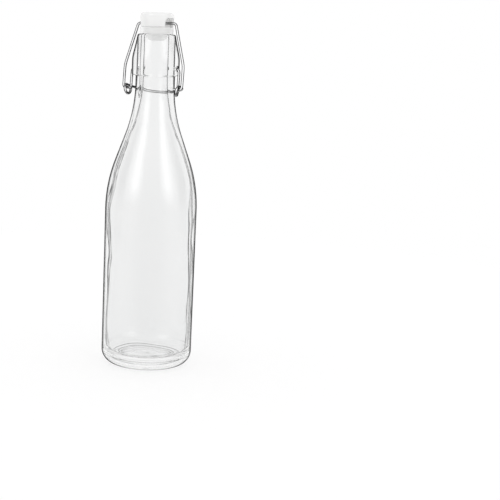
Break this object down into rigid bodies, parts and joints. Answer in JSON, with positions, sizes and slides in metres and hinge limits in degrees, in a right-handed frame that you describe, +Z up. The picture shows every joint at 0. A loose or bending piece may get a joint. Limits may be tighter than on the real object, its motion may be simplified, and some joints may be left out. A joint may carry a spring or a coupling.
{
  "type": "swing top bottle",
  "caption": "Clear glass bottle with a swing top: a white plastic stopper and seal ring held on the lip by a wire bail and an over-centre wire lever hinged in the head of the neck.",
  "frame": {"origin": "centre of the base, on the surface that the bottle stands on", "axes": "+Z up along the axis of the bottle, +X along the lever's pins, +Y towards the bar of the closed lever"},
  "size_m": [0.0702, 0.0702, 0.2677],
  "materials": {
    "clear_glass": "smooth clear pressed and blown glass",
    "white_plastic": "smooth moulded, slightly glossy",
    "seal_rubber": "soft, translucent, matt",
    "wire_steel": "bright drawn and plated wire"
  },
  "bodies": {
    "bottle": {"bottle": "clear_glass"},
    "lever": {"lever": "wire_steel"},
    "bail": {"bail": "wire_steel"},
    "stopper": {"stopper": "white_plastic", "gasket": "seal_rubber"}
  },
  "joints": [
    {"name": "lever_swing", "type": "hinge", "parent": "bottle", "child": "lever", "pos_m": [0, 0, 0.2273], "axis": [1, 0, 0], "range_deg": [0, 90], "deforming": ["gasket"]},
    {"name": "bail_swing", "type": "hinge", "parent": "lever", "child": "bail", "pos_m": [0, -0.00506, 0.21224], "axis": [1, 0, 0], "range_deg": [-63, 0]},
    {"name": "stopper_tilt", "type": "hinge", "parent": "bail", "child": "stopper", "pos_m": [0, 0, 0.2602], "axis": [1, 0, 0], "range_deg": [-27, 0]}
  ],
  "couplings": [
    {"joint": "bail_swing", "follows": "lever_swing", "ratio": -0.7},
    {"joint": "stopper_tilt", "follows": "lever_swing", "ratio": -0.3}
  ]
}
